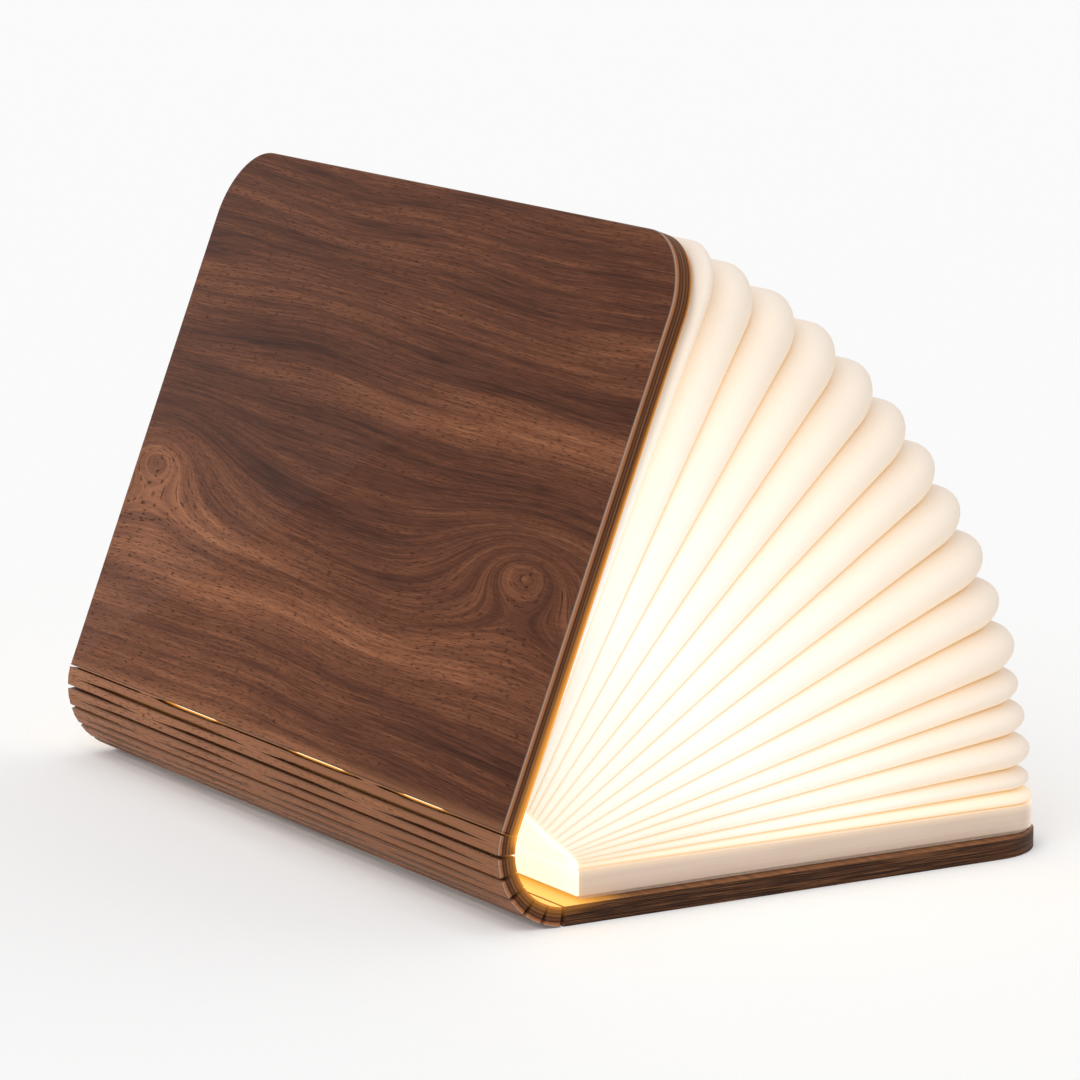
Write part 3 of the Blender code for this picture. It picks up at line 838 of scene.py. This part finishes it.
def in_kerf(kerf, share, along, depth):
    """World places in a kerf: the turn grows evenly from one board to the next."""
    hinge = hinge_places[kerf - 1]
    turn = (kerf - 1 + share) * rest_step
    out = half_kerf * (1 - 2 * share)
    rise = depth - half_thickness
    x = hinge[0] + out * np.cos(turn) + rise * np.sin(turn)
    z = hinge[2] - out * np.sin(turn) + rise * np.cos(turn)
    return np.stack([x, along, z], axis=-1)


def tongue(kerf, middle, limits, first, last, is_lower):
    """One side of a bridge between two shares of the kerf: what the slit leaves of them."""
    most = 1 - 2 * (first + thin_share) if is_lower else 2 * (last - thin_share) - 1
    if most <= 0:
        return None
    reach = cover_length
    if most < widest_slit:
        reach = bridge_length / 2 + bridge_taper * math.asin(most) * 2 / math.pi
    start, stop = max(limits[0], middle - reach), min(limits[1], middle + reach)
    walk = np.linspace(start, stop, tongue_steps)
    slit = slit_shares(kerf, middle, walk)
    if is_lower:
        share = np.minimum(last, 0.5 - slit / 2)
        share[[0, 3]] = first
    else:
        share = np.maximum(first, 0.5 + slit / 2)
        share[[1, 2]] = last
    depth = np.array([0, 0, cover_thickness, cover_thickness])[:, None] + 0 * share
    along = walk[None, :] + 0 * share
    places = in_kerf(kerf, share, along, depth)
    around = leaf_start(kerf) + half_kerf * (1 - 2 * share)
    sheet = np.stack([along, around, depth], axis=-1)
    columns = share.shape[1]
    ends = np.arange(4) * columns
    faces = np.concatenate([grid_faces(4, columns), [ends[::-1], ends + columns - 1]])
    kinds = np.concatenate([np.repeat([0, 1, 2, 1], columns - 1), [1, 1]])
    weights = (share - first) / (last - first)
    return places.reshape(-1, 3), faces, kinds, sheet.reshape(-1, 3), weights.ravel()


def make_bridges(name, kerf, first, last):
    """All tongues of one kerf between two shares of its width, as one piece. Each bridge rules
    the slit as far as half way to the next one."""
    rows = np.array(end_open_rows if kerf % 2 else closed_rows)
    halfway = (rows[1:] + rows[:-1]) / 2
    limits = np.concatenate([[-half_length], halfway, [half_length]])
    made = []
    for middle, low, high in zip(rows, limits[:-1], limits[1:]):
        for is_lower in (True, False):
            made.append(tongue(kerf, middle, (low, high), first, last, is_lower))
    made = [parts for parts in made if parts]
    counts = np.cumsum([0] + [len(parts[0]) for parts in made])
    faces = np.concatenate([parts[1] + start for parts, start in zip(made, counts)])
    places, kinds, sheet, weights = (
        np.concatenate([parts[index] for parts in made]) for index in (0, 2, 3, 4)
    )
    piece = make_piece(name, places, faces, wood_finishes, kinds, sheet_place=sheet)
    return piece, weights


# %% Bridges
joint_number = 0
for kerf, shares in enumerate(kerf_fold_shares, 1):
    edges = np.cumsum([0, *shares]) / sum(shares)
    for index in range(len(shares)):
        joint_number += 1
        name = "bridges_%02d" % joint_number
        piece, weights = make_bridges(name, kerf, edges[index], edges[index + 1])
        bend_between(piece)
print("bridge pieces:", joint_number)

# %% [markdown]
# ## Page block and endpapers
# The block under the folds looks like closed pages: fine level lines on its sides, hardly lit at
# its near side and bright where it faces the spine. It is a plate like the covers, with softly
# rounded edges, and two openings are cut into it for the charging socket and its light.

# %% Block finish
block_low, block_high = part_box("page_block")
block = Finish("page_block_board", Roughness=0.65, Specular_IOR_Level=0.2, Emission_Strength=1.0)
x, y, z = block.parts(block.node("TexCoord", {}, {}, "Object"))
pages = block.noise(block.vector(x * 9, y * 9, z * 3500), 1.0, 4.0, 0.7)
waves = block.noise(block.vector(x * 30, y * 30, z * 400), 1.0, 2.0)
block_colour = block.ramp(
    pages * 0.6 + waves * 0.4,
    (0.30, rgb(216, 194, 176)),
    (0.70, rgb(229, 210, 193)),
)
faces_spine = 1 - block.step(x, block_low.x + 0.0002, block_low.x + 0.0006)
block_glow = block.mix(faces_spine, opaque((0.02, 0.012, 0.006)), opaque((0.84, 0.78, 0.66)))
# Painted light: the upper part of the block glows warmer and its fore corner brighter.
upper = block.step(z, block_low.z + 0.0040, block_high.z)
block_glow = block.mix(upper * 0.5, block_glow, opaque((0.34, 0.24, 0.10)), "ADD")
fore_corner = block.step(x, block_high.x - 0.0065, block_high.x - 0.0015)
block_glow = block.mix(fore_corner, block_glow, opaque((0.30, 0.28, 0.26)), "ADD")
block.paint(Base_Color=block_colour, Emission_Color=block_glow)
block.paint(Normal=block.bump(pages, 0.00005))

sheet_finish = Finish("endpaper_sheet", Roughness=0.7)
x, y, z = sheet_finish.parts(sheet_finish.node("TexCoord", {}, {}, "Object"))
fibre = sheet_finish.noise(sheet_finish.vector(x * 700, y * 700, z * 700), 1.0, 3.0)
sheet_colour = sheet_finish.ramp(fibre, (0.3, rgb(226, 208, 186)), (0.7, rgb(240, 226, 206)))
sheet_finish.paint(Base_Color=sheet_colour, Normal=sheet_finish.bump(fibre, 0.00003))

# %% Page block
block_steps = 12
block_edge = 0.0003
endpaper_inset = 0.0010
endpaper_edge = 0.0001
opening_room = 0.0005
opening_steps = 6
socket_corner = 0.0008
light_corner = 0.0012
touching = 0.00003


def cut_opening(piece, node, radius):
    """Cuts a round-cornered hole round a node, from the far wall to the node's inner end."""
    low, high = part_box(node)
    half_height = (high.z - low.z) / 2 + opening_room
    start, stop = low.x - opening_room, high.x + opening_room
    outline = rounded_outline(start, stop, half_height, radius, radius, opening_steps)[0]
    depths = np.array([block_high.y + 0.001, low.y - opening_room])
    x = outline[:, :1] + 0 * depths
    z = outline[:, 1:] + (low.z + high.z) / 2 + 0 * depths
    places = np.stack([x, depths + 0 * x, z], axis=-1)
    cutter = make_piece("cutter", places, capped(len(outline), 2), [block])
    cut = piece.modifiers.new("opening", "BOOLEAN")
    cut.object = cutter
    cut.operation = "DIFFERENCE"
    cut.solver = "EXACT"
    view = bpy.context.evaluated_depsgraph_get()
    done = bpy.data.meshes.new_from_object(piece.evaluated_get(view))
    piece.modifiers.clear()
    piece.data = done
    bpy.data.objects.remove(cutter)


def level_plate(name, inset, edge, bottom, top, finish):
    """A plate over the block's outline, drawn in by an inset, between two levels."""
    outline, normals = rounded_outline(
        block_low.x,
        block_high.x,
        block_high.y,
        spine_corner_radius,
        fold_corner_radius,
        block_steps,
    )
    flat, deep = edged_plate(outline - inset * normals, normals, edge, top - bottom)
    places = np.concatenate([flat, deep[..., None] + bottom], axis=-1)
    plate = make_piece(name, places, capped(*deep.shape), [finish])
    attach(plate, "base")
    return plate


paper_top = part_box("back_endpaper")[1].z
page_block = level_plate(
    "page_block_pages", 0.0, block_edge, paper_top + touching, block_high.z, block
)
cut_opening(page_block, "charging_socket", socket_corner)
cut_opening(page_block, "charge_indicator", light_corner)
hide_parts("page_block")
back_paper = level_plate(
    "back_endpaper_sheet",
    endpaper_inset,
    endpaper_edge,
    cover_thickness + touching,
    paper_top,
    sheet_finish,
)
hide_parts("back_endpaper")
print("page block:", len(page_block.data.polygons), "faces")

# %% [markdown]
# ## What is inside
# The light board, the battery, the charging board and the magnets are hidden in the shut block.
# They still get the look of what they are, for a view with the shell taken away.


# %% Finishes of the inner pieces
def speckled(name, dark, light, scale, bump, **constants):
    """A finish of two tones mixed by fine noise, with the same noise as its relief."""
    finish = Finish(name, **constants)
    grain = finish.noise(finish.node("TexCoord", {}, {}, "Object"), scale, 4.0, 0.6)
    tone = finish.ramp(grain, (0.3, rgb(*dark)), (0.7, rgb(*light)))
    finish.paint(Base_Color=tone, Normal=finish.bump(grain, bump))
    return finish


def wound_metal(name, dark, light, stretch, **constants):
    """Brushed metal: noise drawn out along one direction gives tone, roughness and relief."""
    finish = Finish(name, Metallic=1.0, **constants)
    x, y, z = finish.parts(finish.node("TexCoord", {}, {}, "Object"))
    brushed = finish.noise(finish.vector(x * stretch, y * 60, z * stretch), 1.0, 3.0)
    tone = finish.ramp(brushed, (0.3, rgb(*dark)), (0.7, rgb(*light)))
    finish.paint(Base_Color=tone, Roughness=0.22 + brushed * 0.2)
    finish.paint(Normal=finish.bump(brushed, 0.00002))
    return finish


chip = speckled("light_chip_lens", (250, 214, 120), (255, 236, 170), 900, 0.00001, Roughness=0.2)
chip.paint(Emission_Color=opaque((1.0, 0.82, 0.5)), Emission_Strength=1.0)
finish_of_slot = {
    "page_board": block,
    "endpaper": sheet_finish,
    "light_board": speckled(
        "white_solder_mask", (226, 228, 226), (238, 240, 237), 400, 0.00002, Roughness=0.4
    ),
    "light_chip": chip,
    "battery_foil": wound_metal("pouch_foil", (150, 152, 156), (196, 198, 202), 900),
    "circuit_board": speckled(
        "green_solder_mask", (12, 78, 38), (22, 104, 54), 500, 0.00004, Roughness=0.35
    ),
    "black_plastic": speckled(
        "moulded_black", (12, 12, 13), (24, 24, 25), 1500, 0.00002, Roughness=0.5
    ),
    "socket_steel": wound_metal("stamped_steel", (172, 172, 174), (208, 208, 210), 1200),
    "indicator_lens": speckled(
        "tinted_lens", (188, 40, 30), (220, 62, 48), 600, 0.00001, Roughness=0.15
    ),
    "red_lead": speckled("red_insulation", (150, 14, 12), (180, 24, 20), 800, 0.00002, Roughness=0.5),
    "black_lead": speckled("black_insulation", (10, 10, 10), (22, 22, 22), 800, 0.00002, Roughness=0.5),
    "magnet_plate": wound_metal("nickel_plate", (168, 166, 160), (204, 201, 194), 1500),
}
for subpart in frame["record"]["subparts"]:
    finish = finish_of_slot.get(subpart["material_slot"])
    if finish:
        carried = nodes[subpart["node"]].data.materials
        carried.clear()
        carried.append(finish.material)
print("inner finishes:", len(finish_of_slot))
